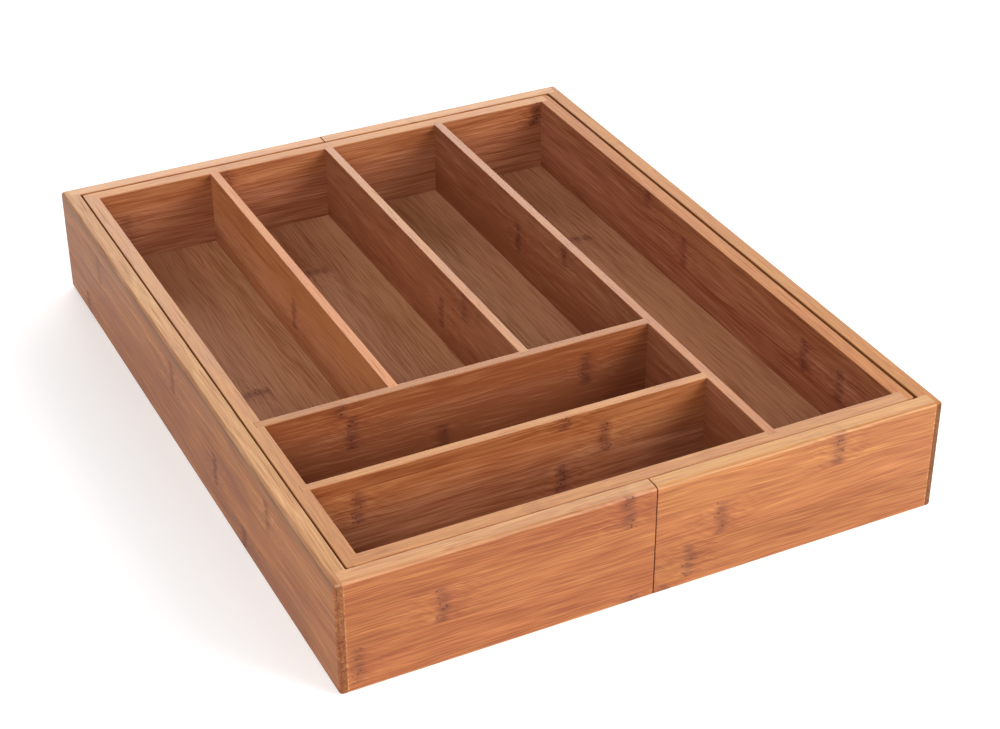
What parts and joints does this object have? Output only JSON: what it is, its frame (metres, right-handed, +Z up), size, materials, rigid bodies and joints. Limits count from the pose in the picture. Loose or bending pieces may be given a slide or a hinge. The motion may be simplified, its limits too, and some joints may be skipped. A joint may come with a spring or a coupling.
{
  "type": "cutlery tray",
  "caption": "Expandable bamboo cutlery tray: a divided inner tray between end sleeves that slide out sideways to open an extra bay at each end.",
  "frame": {"origin": "under the middle of the closed tray, on the surface it stands on", "axes": "+X to the right along the front, +Y from front to back, +Z up"},
  "size_m": [0.34, 0.432, 0.066],
  "materials": {
    "sleeve": "satin lacquered carbonised bamboo",
    "inner_wall": "satin lacquered carbonised bamboo",
    "divider": "satin lacquered carbonised bamboo",
    "floor": "satin lacquered carbonised bamboo",
    "pin": "satin lacquered carbonised bamboo"
  },
  "bodies": {
    "inner_tray": {"inner_front_wall": "inner_wall", "inner_back_wall": "inner_wall", "inner_left_wall": "inner_wall", "inner_right_wall": "inner_wall", "inner_floor": "floor", "long_divider_left": "divider", "long_divider_middle": "divider", "long_divider_right": "divider", "cross_divider_rear": "divider", "cross_divider_front": "divider"},
    "left_sleeve": {"left_end_wall": "sleeve", "left_front_rail": "sleeve", "left_back_rail": "sleeve", "left_sleeve_floor": "floor", "left_front_pin": "pin", "left_back_pin": "pin"},
    "right_sleeve": {"right_end_wall": "sleeve", "right_front_rail": "sleeve", "right_back_rail": "sleeve", "right_sleeve_floor": "floor", "right_front_pin": "pin", "right_back_pin": "pin"}
  },
  "joints": [
    {"name": "left_sleeve_slide", "type": "slide", "parent": "inner_tray", "child": "left_sleeve", "axis": [-1, 0, 0], "range_m": [0, 0.115]},
    {"name": "right_sleeve_slide", "type": "slide", "parent": "inner_tray", "child": "right_sleeve", "axis": [1, 0, 0], "range_m": [0, 0.115]}
  ]
}
